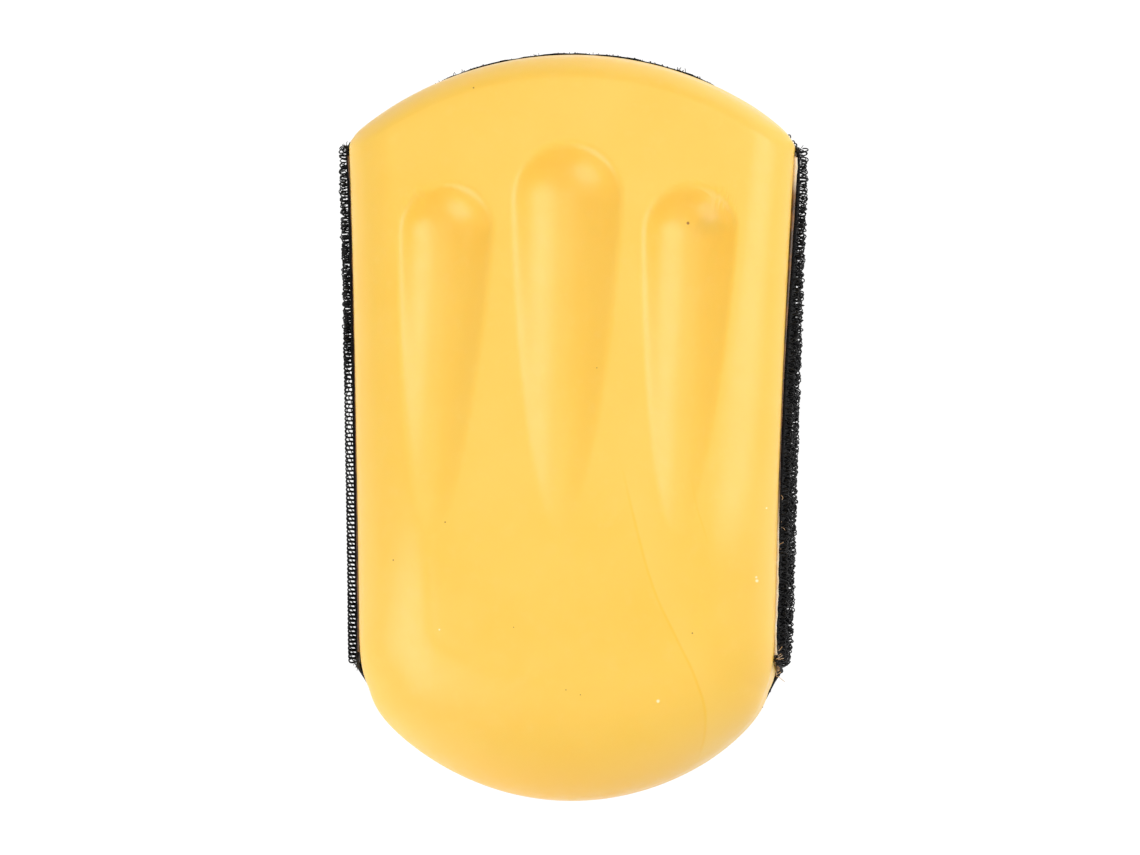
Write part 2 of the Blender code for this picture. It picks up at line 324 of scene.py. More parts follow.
# ================================================================ materials
class Graph:
    """A material with short ways to add nodes to it. Sockets are linked, other values are set."""

    def __init__(self, name):
        self.material = bpy.data.materials.new(name)
        self.material.use_nodes = True
        self.tree = self.material.node_tree
        self.shader = self.tree.nodes["Principled BSDF"]

    def give(self, socket, value):
        if isinstance(value, bpy.types.NodeSocket):
            self.tree.links.new(value, socket)
        else:
            socket.default_value = value

    def add(self, kind, inputs, output=0, **settings):
        node = self.tree.nodes.new(kind)
        for name, value in settings.items():
            setattr(node, name, value)
        for name, value in inputs.items():
            self.give(node.inputs[name], value)
        return node.outputs[output]

    def math(self, operation, *values, clamp=False):
        inputs = dict(enumerate(values))
        return self.add("ShaderNodeMath", inputs, operation=operation, use_clamp=clamp)

    def band(self, value, start, end, low=0.0, high=1.0):
        """An S curve from low at start to high at end."""
        inputs = {"Value": value, "From Min": start, "From Max": end, "To Min": low, "To Max": high}
        return self.add("ShaderNodeMapRange", inputs, interpolation_type="SMOOTHSTEP")

    def noise(self, place, scale, detail=3.0, rough=0.5):
        inputs = {"Vector": place, "Scale": scale, "Detail": detail, "Roughness": rough}
        return self.add("ShaderNodeTexNoise", inputs)

    def colour(self, share, first, second):
        mix = self.tree.nodes.new("ShaderNodeMix")
        mix.data_type = "RGBA"
        for socket, value in zip((mix.inputs[0], mix.inputs[6], mix.inputs[7]), (share, first, second)):
            self.give(socket, value)
        return mix.outputs[2]

    def place(self):
        return self.add("ShaderNodeTexCoord", {}, output="Object")

    def spot(self, place, x, y, radius):
        """1 within a round spot of the plan, in millimetres, and 0 outside it."""
        flat = self.add("ShaderNodeVectorMath", {0: place, 1: (1, 1, 0)}, operation="MULTIPLY")
        offset = {0: flat, 1: (x * MM, y * MM, 0)}
        far = self.add("ShaderNodeVectorMath", offset, output="Value", operation="DISTANCE")
        return self.band(far, SPOT_INNER * radius * MM, SPOT_OUTER * radius * MM, 1.0, 0.0)

    def line(self, x, y, points):
        """(distance to the right of a line that runs along Y, a share that fades out at its ends)."""
        ys, xs = np.array(points, float).T * MM
        low, high, left, right = ys.min(), ys.max(), xs.min(), xs.max()
        curve = self.tree.nodes.new("ShaderNodeFloatCurve")
        line = curve.mapping.curves[0]
        shares = sorted(zip((ys - low) / (high - low), (xs - left) / (right - left)))
        for point, share in zip((line.points[0], line.points[1]), (shares[0], shares[-1])):
            point.location = share
        for share in shares[1:-1]:
            line.points.new(*share)
        curve.mapping.update()
        along = {"Value": y, "From Min": low, "From Max": high}
        self.give(curve.inputs["Value"], self.add("ShaderNodeMapRange", along))
        line_x = self.math("MULTIPLY_ADD", curve.outputs[0], right - left, left)
        ends = self.math(
            "MULTIPLY",
            self.band(y, low, low + LINE_END_REAR),
            self.band(y, high - LINE_END_FRONT, high, 1.0, 0.0),
        )
        return self.math("SUBTRACT", x, line_x), ends

    def bump(self, height, strength, distance, normal=None):
        inputs = {"Height": height, "Strength": strength, "Distance": distance}
        if normal is not None:
            inputs["Normal"] = normal
        return self.add("ShaderNodeBump", inputs)

    def set(self, **values):
        """Shader sockets, named with _ for a space."""
        for name, value in values.items():
            self.give(self.shader.inputs[name.replace("_", " ")], value)


# The foam's skin: its two usual tones, paler clouds, the meeting lines and the skin beside them,
# a painted shade that deepens the rear end's colour, pinholes and specks.
SKIN_DEEP, SKIN_PALE = rgb(0.940, 0.570, 0.080), rgb(0.945, 0.590, 0.096)
SKIN_CLOUD = rgb(0.95, 0.605, 0.12)
SKIN_LINE, SKIN_BESIDE = rgb(0.93, 0.54, 0.045), rgb(0.95, 0.61, 0.120)
# Painted shade: a deeper orange laid over the rear end of the skin, standing in for the shade that falls
# there.
SKIN_REAR_PAINTED_SHADE, REAR_SHADE_FROM, REAR_SHADE_TO = rgb(0.925, 0.520, 0.048), -50 * MM, -63 * MM
HOLE_DARK, SPECK_PALE = rgb(0.30, 0.13, 0.03), rgb(0.95, 0.84, 0.50)
# Noise scales, in waves per metre.
MOTTLE_SCALE, CLOUD_SCALE, GRAIN_SCALE, SWELL_SCALE = 55.0, 420.0, 2600.0, 70.0
LINE_LEDGE, LINE_FADE = 0.3 * MM, 7 * MM  # the paler step on a meeting line's right
LINE_TINT, LINE_SINK, GRAIN_SHARE = 0.55, 0.8, 0.3
LINE_END_FRONT, LINE_END_REAR = 12 * MM, 6 * MM  # over what length a line fades out at its ends
SPOT_INNER, SPOT_OUTER = 0.4, 1.3  # a spot's soft edge, as shares of its radius
SKIN_ROUGH_LOW, SKIN_ROUGH_HIGH = 0.34, 0.44
SKIN_GLOW, SKIN_GLOW_DEPTH = 0.12, 1.2 * MM
GRAIN_HEIGHT, SWELL_HEIGHT = 0.05 * MM, 0.35 * MM

NYLON_DARK, NYLON_PALE = rgb(0.004, 0.004, 0.005), rgb(0.012, 0.012, 0.013)
STAIN_DARK, STAIN_PALE = rgb(0.42, 0.25, 0.12), rgb(0.78, 0.62, 0.44)
LINT_DARK, LINT_PALE = rgb(0.004, 0.004, 0.005), rgb(0.012, 0.011, 0.011)
WEAVE_ACROSS, WEAVE_ALONG = 0.45, 0.35  # the ground's weave, in millimetres
CREAM_DARK, CREAM_PALE = rgb(0.80, 0.62, 0.38), rgb(0.90, 0.82, 0.68)
AMBER_DARK, AMBER_PALE = rgb(0.05, 0.025, 0.01), rgb(0.24, 0.11, 0.03)
# Where the squeezed-out glue is cream: from this far right, behind one line and around another.
CREAM_X = 30 * MM, 33 * MM
CREAM_BEHIND = -8 * MM, -22 * MM
CREAM_CORNER = 39 * MM, 43 * MM
FLOOR_GREY, FLOOR_GLOW = 0.16, 0.92


def foam_material():
    """Satin moulded skin: faint mottling, meeting lines, pinholes, a fine grain, a slight swell and a
    painted shade over the rear end.
    """
    graph = Graph("moulded_foam_skin")
    place = graph.place()
    parts = graph.tree.nodes.new("ShaderNodeSeparateXYZ")
    graph.give(parts.inputs[0], place)
    x, y, _ = parts.outputs
    mottle = graph.noise(place, MOTTLE_SCALE, 4.0, 0.55)
    cloud = graph.noise(place, CLOUD_SCALE, 3.0, 0.6)
    grain = graph.noise(place, GRAIN_SCALE, 2.0, 0.5)
    swell = graph.noise(place, SWELL_SCALE, 2.0, 0.4)
    skin = graph.colour(graph.band(mottle, 0.30, 0.70), SKIN_DEEP, SKIN_PALE)
    skin = graph.colour(graph.band(cloud, 0.50, 0.80, 0.0, 0.4), skin, SKIN_CLOUD)
    # Painted shade: the skin is coloured deeper towards the rear end.
    skin = graph.colour(graph.band(y, REAR_SHADE_FROM, REAR_SHADE_TO), skin, SKIN_REAR_PAINTED_SHADE)
    height = graph.math("MULTIPLY", grain, GRAIN_SHARE)
    for points, width, beside in FLOW_LINES:
        right, ends = graph.line(x, y, points)
        crease = graph.band(graph.math("ABSOLUTE", right), 0.0, width * MM, 1.0, 0.0)
        crease = graph.math("MULTIPLY", crease, ends)
        step, fade = graph.band(right, 0.0, LINE_LEDGE), graph.band(right, 0.0, LINE_FADE, 1.0, 0.0)
        ledge = graph.math("MULTIPLY", graph.math("MULTIPLY", step, fade), ends)
        skin = graph.colour(graph.math("MULTIPLY", ledge, beside), skin, SKIN_BESIDE)
        skin = graph.colour(graph.math("MULTIPLY", crease, LINE_TINT), skin, SKIN_LINE)
        height = graph.math("SUBTRACT", height, graph.math("MULTIPLY", crease, LINE_SINK))
    for spot in PINHOLES:
        hole = graph.spot(place, *spot)
        skin = graph.colour(hole, skin, HOLE_DARK)
        height = graph.math("SUBTRACT", height, hole)
    for spot in PALE_SPECKS:
        skin = graph.colour(graph.spot(place, *spot), skin, SPECK_PALE)
    graph.set(
        Base_Color=skin,
        Roughness=graph.band(cloud, 0.3, 0.7, SKIN_ROUGH_LOW, SKIN_ROUGH_HIGH),
        Specular_IOR_Level=0.5,
        Subsurface_Weight=SKIN_GLOW,
        Subsurface_Radius=(1.0, 0.45, 0.12),
        Subsurface_Scale=SKIN_GLOW_DEPTH,
    )
    fine = graph.bump(height, 0.4, GRAIN_HEIGHT)
    graph.set(Normal=graph.bump(swell, 0.12, SWELL_HEIGHT, fine))
    return graph.material


def nylon_material(name, dark, pale):
    """Smooth drawn filament, in patches of two tones."""
    graph = Graph(name)
    place = graph.place()
    patch = graph.noise(place, 900.0, 3.0, 0.6)
    graph.set(
        Base_Color=graph.colour(graph.band(patch, 0.35, 0.75), dark, pale),
        Roughness=graph.band(patch, 0.3, 0.7, 0.28, 0.45),
        Specular_IOR_Level=0.22,
        Normal=graph.bump(graph.noise(place, 6000.0, 2.0), 0.3, 0.02 * MM),
    )
    return graph.material


def woven_material():
    """The ground's plain weave, drawn by its own coordinates, with some lint."""
    graph = Graph("woven_nylon_ground")
    place = graph.add("ShaderNodeUVMap", {}, uv_map="weave")
    parts = graph.tree.nodes.new("ShaderNodeSeparateXYZ")
    graph.give(parts.inputs[0], place)
    across = graph.math("SINE", graph.math("MULTIPLY", parts.outputs[0], 2 * math.pi / WEAVE_ACROSS))
    along = graph.math("SINE", graph.math("MULTIPLY", parts.outputs[1], 2 * math.pi / WEAVE_ALONG))
    weave = graph.math("MULTIPLY", across, along)
    lint = graph.noise(graph.place(), 700.0, 4.0, 0.6)
    height = graph.math("ADD", weave, graph.math("MULTIPLY", lint, 1.5))
    graph.set(
        Base_Color=graph.colour(graph.band(lint, 0.4, 0.8), LINT_DARK, LINT_PALE),
        Roughness=graph.band(weave, -1.0, 1.0, 0.75, 0.55),
        Specular_IOR_Level=0.15,
        Normal=graph.bump(height, 0.9, 0.10 * MM),
    )
    return graph.material


def glue_material():
    """Amber where it is a thin film, and cream where it was squeezed out along the right flank."""
    graph = Graph("dried_contact_glue")
    place = graph.place()
    patch = graph.noise(place, 260.0, 4.0, 0.6)
    parts = graph.tree.nodes.new("ShaderNodeSeparateXYZ")
    graph.give(parts.inputs[0], place)
    x, y, _ = parts.outputs
    where = graph.math("MAXIMUM", graph.band(y, *CREAM_BEHIND), graph.band(y, *CREAM_CORNER))
    thick = graph.math("MULTIPLY", graph.band(x, *CREAM_X), where)
    cream = graph.colour(graph.band(patch, 0.35, 0.70), CREAM_DARK, CREAM_PALE)
    amber = graph.colour(graph.band(patch, 0.35, 0.70), AMBER_DARK, AMBER_PALE)
    graph.set(
        Base_Color=graph.colour(thick, amber, cream),
        Roughness=graph.band(patch, 0.3, 0.7, 0.30, 0.50),
        Subsurface_Weight=0.2,
        Subsurface_Radius=(1.0, 0.8, 0.5),
        Subsurface_Scale=0.5 * MM,
        Normal=graph.bump(graph.noise(place, 1500.0, 3.0), 0.5, 0.08 * MM),
    )
    return graph.material


def floor_material():
    """A plain white table, lit evenly from below."""
    graph = Graph("pale_floor")
    graph.set(
        Base_Color=rgb(FLOOR_GREY, FLOOR_GREY, FLOOR_GREY),
        Roughness=0.9,
        Emission_Color=rgb(1.0, 1.0, 1.0),
        Emission_Strength=FLOOR_GLOW,
    )
    return graph.material


# ================================================================ the foam body
BODY_RINGS, BODY_PLATEAU_RINGS = 120, 72
PLATEAU_TURN = math.radians(84)
FOOT_STEPS, EDGE_STEPS = 20, 8


def foam_body():
    """A square grid drawn out to round rings over the top, and rings from the waist to the base."""
    side = 2 * BODY_RINGS + 1
    i, j = np.meshgrid(np.arange(side) - BODY_RINGS, np.arange(side) - BODY_RINGS, indexing="ij")
    x, y = i.ravel().astype(float), j.ravel().astype(float)
    ring = np.maximum(np.abs(x), np.abs(y))
    wide = np.abs(x) >= np.abs(y)
    with np.errstate(divide="ignore", invalid="ignore"):
        angle = np.where(
            wide,
            math.pi / 4 * y / x + np.where(x > 0, 0, math.pi),
            math.pi / 2 - math.pi / 4 * x / y + np.where(y > 0, 0, math.pi),
        )
    angle = np.nan_to_num(angle)
    turn = np.clip((BODY_RINGS - ring) / (BODY_RINGS - BODY_PLATEAU_RINGS), 0, 1) * PLATEAU_TURN
    share = np.minimum(1, ring / BODY_PLATEAU_RINGS)
    plan_x, plan_y = contour_point(angle, np.cos(turn))
    plan_x, plan_y = plan_x * share, plan_y * share
    z = top_z(plan_x, plan_y)
    z = np.where(ring == BODY_RINGS, waist_z(plan_y), z)
    top = np.stack([plan_x, plan_y, z], axis=1)

    rim = grid_rim(side, side)[::-1]
    rim_angle = angle[rim]
    walls, bands, above = [], [], rim
    heights = SIDE_EDGE_RADIUS * (1 - np.cos(np.arange(FOOT_STEPS, -1, -1) / FOOT_STEPS * math.pi / 2))
    last = END_EDGE_RADIUS * np.linspace(1, 0, EDGE_STEPS)
    heights = np.concatenate([heights[heights > END_EDGE_RADIUS], last])
    for height in heights:
        wall_x, wall_y = contour_point(rim_angle, 1.0, height)
        walls.append(np.stack([wall_x, wall_y, np.full_like(wall_x, BASE_Z + height)], axis=1))
        below = len(top) + len(rim) * (len(walls) - 1) + np.arange(len(rim))
        bands.append(np.stack([above, below, np.roll(below, -1), np.roll(above, -1)], axis=1))
        above = below
    centre = len(top) + len(rim) * len(walls)
    base = np.stack([above, np.full(len(rim), centre), np.roll(above, -1)], axis=1)
    points = np.concatenate([top, *walls, [[0.0, 0.0, BASE_Z]]])
    faces = [grid_faces(side, side, flip=True), np.concatenate(bands), base]
    body = make_object("foam_block", points, faces, foam_material())
    recalculate(body)
    return body


def recalculate(obj):
    """Turns all faces outwards."""
    mesh = bmesh.new()
    mesh.from_mesh(obj.data)
    bmesh.ops.recalc_face_normals(mesh, faces=mesh.faces)
    mesh.to_mesh(obj.data)
    mesh.free()


# ================================================================ the glued sheet
def foot_x(y):
    """Where the flat base ends and the long rounding starts."""
    return half_width(y) + outward(SIDE_EDGE_RADIUS, 0.0, y)


def wall_length(y):
    """How far the flap goes up the wall from the end of the rounding."""
    top = waist_z(y) - BASE_Z - FLAP_MARGIN
    straight = top - SIDE_EDGE_RADIUS * (1 - math.cos(FULL_TURN))
    return np.maximum(LEAST_FLAP, straight / math.cos(WALL_DRAFT))


def section(across, y):
    """(x, height, tilt) on the foam at a distance across from the middle, measured on the sheet."""
    side, far = np.sign(across), np.abs(across)
    foot = foot_x(y)
    turn = np.clip((far - foot) / SIDE_EDGE_RADIUS, 0, FULL_TURN)
    up = np.maximum(0, far - foot - TURN_LENGTH)
    x = np.minimum(far, foot) + SIDE_EDGE_RADIUS * np.sin(turn) - up * math.sin(WALL_DRAFT)
    height = SIDE_EDGE_RADIUS * (1 - np.cos(turn)) + up * math.cos(WALL_DRAFT)
    return side * x, height, turn


def lift(across, y):
    """How far the glue holds the sheet off the foam, above its usual thickness."""
    far = np.abs(across) - foot_x(y)
    base = BASE_LIFT * (1 - smooth(far, 0, BASE_LIFT_FADE))
    bulge = smooth(far, *BULGE_SETS_IN) * (1 - smooth(far, *BULGE_ENDS))
    ends = smooth(y, *BULGE_REAR) * (1 - smooth(y, *BULGE_FRONT))
    return base + np.where(across > 0, RIGHT_BULGE * bulge * ends, 0.0)


def on_sheet(across, y, out):
    """A point out from the foam by the sheet's lift and a distance, and the direction out."""
    x, height, turn = section(across, y)
    out = out + lift(across, y)
    side = np.where(across < 0, -1.0, 1.0)
    normal = np.stack([side * np.sin(turn), np.zeros_like(turn), -np.cos(turn)], axis=-1)
    return np.stack([x, y, BASE_Z + height], axis=-1) + normal * out[..., None], normal


def sheet_ends(across, y):
    """(front, rear) limits of the cut sheet at a distance across."""
    x, _, _ = section(across, y)
    x = np.abs(x)
    front, rear = end_y(x)
    front = front + OVERHANG_FRONT * (1 - OVERHANG_LOSS * smooth(x, OVERHANG_FROM, OVERHANG_TO))
    front = front - FRONT_CORNER * smooth(x, FRONT_CORNER_FROM, FRONT_CORNER_TO)
    rear = rear + REAR_CORNER * smooth(x, REAR_CORNER_FROM, REAR_CORNER_TO)
    up = np.clip((np.abs(across) - foot_x(y) - TURN_LENGTH) / wall_length(y), 0, 1)
    front = front + (FLAP_FRONT_Y - front) * up + CUT_WOBBLE * wobble(across, CUT_PITCH, SEED + 4)
    rear = rear + (FLAP_REAR_Y - rear) * up + CUT_WOBBLE * wobble(across, CUT_PITCH, SEED + 5)
    return front, rear


def sheet_reach(y, margin=0.0):
    """How far across the sheet goes from its middle, at the flaps' top edges."""
    return foot_x(y) + TURN_LENGTH + wall_length(y) - margin


GRID_SETTLINGS = 12  # the cut ends depend on y across the flaps, so the grid is drawn again


def sheet_grid(columns, rows, past=0.0, edge=0.0):
    """(across, y) over the whole cut sheet. Past widens the flaps' tops and edge its ends."""
    u = np.linspace(-1, 1, columns)[None, :]
    v = np.linspace(0, 1, rows)[:, None]
    y = np.zeros((rows, columns))
    for _ in range(GRID_SETTLINGS):
        side = np.where(u < 0, 1.0, 2.0)
        ragged = TOP_WOBBLE * wobble(y + 100 * MM * side, TOP_PITCH, SEED + 6)
        across = u * (sheet_reach(y) + past + ragged)
        front, rear = sheet_ends(across, y)
        y = rear - edge + (front - rear + 2 * edge) * v
    return across, y


def hook_sheet():
    """The woven ground: a thin closed sheet, with its weave's coordinates in millimetres."""
    across, y = sheet_grid(161, 181)
    outer, _ = on_sheet(across, y, np.full(y.shape, GLUE_THICK + SHEET_THICK))
    inner, _ = on_sheet(across, y, np.full(y.shape, GLUE_THICK))
    sheet = shell_object("woven_hook_sheet", outer, inner, woven_material())
    recalculate(sheet)
    weave = sheet.data.uv_layers.new(name="weave")
    corner = np.empty(len(sheet.data.loops), np.int32)
    sheet.data.loops.foreach_get("vertex_index", corner)
    flat = np.stack([across.ravel(), y.ravel()], axis=1) / MM
    weave.data.foreach_set("uv", np.tile(flat, (2, 1))[corner].astype(np.float32).ravel())
    return sheet


def glue_film():
    """Dried glue between foam and sheet, with an uneven bead squeezed out along the flaps' tops."""
    across, y = sheet_grid(201, 221, past=GLUE_PAST, edge=-GLUE_SHORT)
    top = np.abs(across) - sheet_reach(y)
    right = across > 0
    side = np.where(right, 2.0, 1.0)
    patch = 0.5 + 0.5 * wobble(y + 90 * MM * side, BEAD_PITCH, SEED + 7)
    fine = 0.5 + 0.5 * wobble(y + 90 * MM * side, BEAD_FINE_PITCH, SEED + 8)
    rear = smooth(-y, BEAD_REAR_FROM, BEAD_REAR_TO) * np.where(right, 1.0, BEAD_LEFT)
    corner = smooth(y, BEAD_CORNER_FROM, BEAD_CORNER_TO) * BEAD_CORNER
    amount = np.maximum(rear, corner) * (0.35 + 0.65 * patch) * (0.6 + 0.4 * fine)
    bead = smooth(top, -BEAD_DEPTH, 0.0) * BEAD_THICK * amount
    outer, _ = on_sheet(across, y, GLUE_THICK + GLUE_PROUD + bead)
    inner, _ = on_sheet(across, y, -lift(across, y) - GLUE_SINK)
    film = shell_object("glue_film", outer, inner, glue_material())
    recalculate(film)
    return film


def tube_quads(steps, sides):
    """The quads of a tube whose points are numbered ring by ring."""
    ring = np.arange(steps - 1)[:, None] * sides
    here, there = ring + np.arange(sides), ring + (np.arange(sides) + 1) % sides
    return np.stack([here, there, there + sides, here + sides], -1).reshape(-1, 4)


def tube_caps(steps, sides):
    """The two end faces of a tube."""
    return np.array([np.arange(sides)[::-1], (steps - 1) * sides + np.arange(sides)])


# ================================================================ hooks
LOOP_PITCH, ROW_PITCH = 1.40 * MM, 0.90 * MM
HOOK_THICK = 0.22 * MM
HOOK_SIDES = 5
# A hook's line: along the sheet and out from it, as shares of its half width and height.
HOOK_LINE = np.array(
    [
        (-0.80, -0.12),
        (-0.95, 0.25),
        (-1.00, 0.52),
        (-0.92, 0.76),
        (-0.55, 0.94),
        (0.00, 1.00),
        (0.55, 0.93),
        (0.92, 0.74),
        (1.00, 0.50),
        (0.86, 0.26),
    ]
)
HALF_LOOP = 0.36 * MM
HALF_LENGTH, MOST_STEPS = 60, 50  # in millimetres and in pitches, from the middle to past an end
HOOK_CUT = 0.25 * MM  # how far the outermost hooks stand in from the cut edges
BARE_CORNER, BARE_FROM, BARE_TO = 1.2 * MM, (22 * MM, 30 * MM), (40 * MM, 46 * MM)
# How far a fully loose hook strays: along the row in pitches, in twist, lean, width, line and
# thickness, and how much lower and uneven in height it is.
STRAY, TWIST, LEAN, WIDER, BENT, THICKER = 0.45, 0.45, 0.16, 0.10, 0.035, 0.06
CRUSHED, UNEVEN = 0.07, 0.10
FLANK_TURN, MIDDLE_STRIP = 4 * MM, 10.5 * MM
LOOSE, LOOSE_REAR_LEFT, LOOSE_GAIN_LEFT = 0.8, 0.15, 0.95
LOOSE_FROM, LOOSE_TO = 2 * MM, 18 * MM  # the left flank is neat behind and loose in front
LONGEST_STRETCH = 0.38


def hook_places():
    """(across, y) of every hook: rows along the sheet, each next row moved by half a pitch."""
    widest = sheet_reach(np.linspace(-HALF_LENGTH, HALF_LENGTH, 2 * HALF_LENGTH + 1) * MM).max()
    rows = np.arange(-math.ceil(widest / ROW_PITCH), math.ceil(widest / ROW_PITCH) + 1)
    steps = np.arange(-MOST_STEPS, MOST_STEPS + 1)
    row, step = np.meshgrid(rows, steps, indexing="ij")
    across = (row * ROW_PITCH).ravel().astype(float)
    y = ((step + 0.5 * (row % 2)) * LOOP_PITCH).ravel()
    front, rear = sheet_ends(across, y)
    far = np.abs(across)
    corner = BARE_CORNER * smooth(far, *BARE_FROM) * (1 - smooth(far, *BARE_TO))
    keep = (y < front - HOOK_CUT) & (y > rear + HOOK_CUT + corner) & (far < sheet_reach(y, HOOK_CUT))
    return across[keep], y[keep]


def hooks_mesh(name, across, y, loose, stretch, seed, material):
    """One mesh of many bent filaments. Loose is how far each strays from a perfect weave, and
    stretch is how much taller the tallest of them stand."""
    random = np.random.default_rng(seed)
    count = len(across)
    foot, normal = on_sheet(across, y, np.full(count, GLUE_THICK + SHEET_THICK))
    along = np.tile([0.0, 1.0, 0.0], (count, 1))
    aside = np.cross(normal, along)
    foot[:, 1] += random.uniform(-STRAY, STRAY, count) * LOOP_PITCH * np.maximum(0, loose - 0.5)
    twist = random.normal(0, TWIST, count) * loose
    forward = along * np.cos(twist)[:, None] + aside * np.sin(twist)[:, None]
    lean = random.normal(0, LEAN, (count, 2)) * loose[:, None]
    up = normal + forward * lean[:, :1] + aside * lean[:, 1:]
    up /= np.linalg.norm(up, axis=1)[:, None]
    sideways = np.cross(forward, up)
    sideways /= np.linalg.norm(sideways, axis=1)[:, None]
    height = HOOK_HEIGHT * (1 - CRUSHED * loose - random.uniform(0, UNEVEN, count) * (0.3 + loose))
    height = height * (1 + stretch * random.uniform(0, 1, count) ** 2)
    width = HALF_LOOP * (1 + random.normal(0, WIDER, count) * loose)
    facing = np.where(random.random(count) < 0.5, -1.0, 1.0)

    bends = random.normal(0, BENT, (count, len(HOOK_LINE), 2)) * loose[:, None, None]
    line = HOOK_LINE[None] + bends
    line[:, 0] = HOOK_LINE[0]
    size = np.stack([width * facing, height - HOOK_THICK / 2], axis=-1)
    flat = line * size[:, None]
    ahead = np.gradient(flat, axis=1)
    ahead /= np.linalg.norm(ahead, axis=2)[..., None]
    spin = np.linspace(0, 2 * math.pi, HOOK_SIDES, endpoint=False)
    radius = HOOK_THICK / 2 * (1 + random.normal(0, THICKER, count) * loose)
    in_plane = np.stack([-ahead[..., 1], ahead[..., 0]], axis=-1)
    round_flat = (radius[:, None, None] * np.cos(spin))[..., None]
    ring_flat = flat[:, :, None] + round_flat * in_plane[:, :, None]
    ring_side = radius[:, None, None] * np.sin(spin) * np.ones(flat.shape[:2])[..., None]
    points = (
        foot[:, None, None]
        + ring_flat[..., :1] * forward[:, None, None]
        + ring_flat[..., 1:] * up[:, None, None]
        + ring_side[..., None] * sideways[:, None, None]
    )
    quads, caps = tube_quads(len(HOOK_LINE), HOOK_SIDES), tube_caps(len(HOOK_LINE), HOOK_SIDES)
    start = (np.arange(count) * len(HOOK_LINE) * HOOK_SIDES)[:, None, None]
    turned = facing < 0
    all_quads = (start + quads[None]).reshape(count, -1, 4)
    all_caps = (start + caps[None]).reshape(count, -1, HOOK_SIDES)
    all_quads[turned] = all_quads[turned][:, :, ::-1]
    all_caps[turned] = all_caps[turned][:, :, ::-1]
    faces = [all_quads.reshape(-1, 4), all_caps.reshape(-1, HOOK_SIDES)]
    return make_object(name, points.reshape(-1, 3), faces, material)


def hook_pieces(material):
    """The pile in a few pieces: the base in strips, and each flank."""
    across, y = hook_places()
    edge = foot_x(y) + FLANK_TURN
    groups = {
        "hooks_left_flank": across < -edge,
        "hooks_base_left": (across >= -edge) & (across < -MIDDLE_STRIP),
        "hooks_base_middle": np.abs(across) <= MIDDLE_STRIP,
        "hooks_base_right": (across > MIDDLE_STRIP) & (across <= edge),
        "hooks_right_flank": across > edge,
    }
    made = []
    for number, (name, chosen) in enumerate(groups.items()):
        loose = np.full(chosen.sum(), LOOSE)
        if name == "hooks_right_flank":
            loose = np.ones(chosen.sum())
        if name == "hooks_left_flank":
            loose = LOOSE_REAR_LEFT + LOOSE_GAIN_LEFT * smooth(y[chosen], LOOSE_FROM, LOOSE_TO)
        stretch = LONGEST_STRETCH * np.clip(loose - 0.4, 0, 0.6) * ("flank" in name)
        places = across[chosen], y[chosen]
        made.append(hooks_mesh(name, *places, loose, stretch, SEED + number, material))
    return made


# ================================================================ threads
THREAD_SIDES, THREAD_STEPS = 4, 7
THREAD_THICK, STAINED_THICK = 0.10 * MM, 0.12 * MM
THREAD_ROOT, STAINED_ROOT = 0.2 * MM, 0.15 * MM  # how far out from the glue a thread is rooted
THREAD_STRAY, THREAD_BEND = 0.35, 0.45
SLANT = [0.31, 0.22, 0.92]  # a direction that no thread runs in, to turn its rings by
# Tufts at the tops of the flaps: side, y, how many threads, length, and where they lean to.
TUFTS = (
    (-1, -39.0 * MM, 14, 1.3 * MM, (0.1, -1.0, 0.0)),
    (-1, 46.5 * MM, 14, 1.0 * MM, (-0.6, 0.6, 0.1)),
    (1, -39.0 * MM, 14, 1.4 * MM, (0.1, -0.8, 0.2)),
    (1, 46.5 * MM, 14, 1.0 * MM, (0.5, 0.6, 0.2)),
    (1, 15.2 * MM, 7, 0.9 * MM, (-0.9, 0.2, 0.9)),
)
TUFT_LONG, TUFT_DEEP = 0.5 * MM, 1.0 * MM  # how far a tuft's roots are spread
# Tufts at the front edge: x, how many threads, length.
FRONT_TUFTS = ((17.9 * MM, 6, 0.8 * MM), (-19.5 * MM, 3, 0.5 * MM))
FRONT_SPREAD, FRONT_INSET, FRONT_LEAN = 0.6 * MM, 0.1 * MM, [0.1, 1.0, 0.35]
# Short single threads along the front edge: how many, and half the width that they cover.
SINGLES, SINGLES_REACH = 90, 24
# Glue-stained threads: how many in all and at the rear end, and where they stand, in millimetres.
STAINED, STAINED_AT_END = 34, 24
STAINED_END, STAINED_TOP = (-41.5, -37.0), (-23.5, -9.0)


def threads_mesh(name, roots, ways, lengths, thick, seed, material):
    """Thin curved filaments, each from its root towards its own way, with a random bend."""
    random = np.random.default_rng(seed)
    count = len(roots)
    ways = ways + random.normal(0, THREAD_STRAY, (count, 3))
    ways /= np.linalg.norm(ways, axis=1)[:, None]
    bends = random.normal(0, THREAD_BEND, (count, 3)) * lengths[:, None]
    t = np.linspace(0, 1, THREAD_STEPS)[None, :, None]
    line = roots[:, None] + ways[:, None] * lengths[:, None, None] * t + bends[:, None] * t * t
    ahead = np.gradient(line, axis=1)
    ahead /= np.linalg.norm(ahead, axis=2)[..., None]
    first = np.cross(ahead, SLANT)
    first /= np.linalg.norm(first, axis=2)[..., None]
    second = np.cross(ahead, first)
    spin = np.linspace(0, 2 * math.pi, THREAD_SIDES, endpoint=False)[:, None]
    ring = np.cos(spin) * first[:, :, None] + np.sin(spin) * second[:, :, None]
    points = line[:, :, None] + thick / 2 * ring
    each = THREAD_STEPS * THREAD_SIDES
    start = np.arange(count)[:, None, None] * each
    faces = [(start + tube_quads(THREAD_STEPS, THREAD_SIDES)[None]).reshape(-1, 4)]
    faces.append((start + tube_caps(THREAD_STEPS, THREAD_SIDES)[None]).reshape(-1, THREAD_SIDES))
    return make_object(name, points.reshape(-1, 3), faces, material)


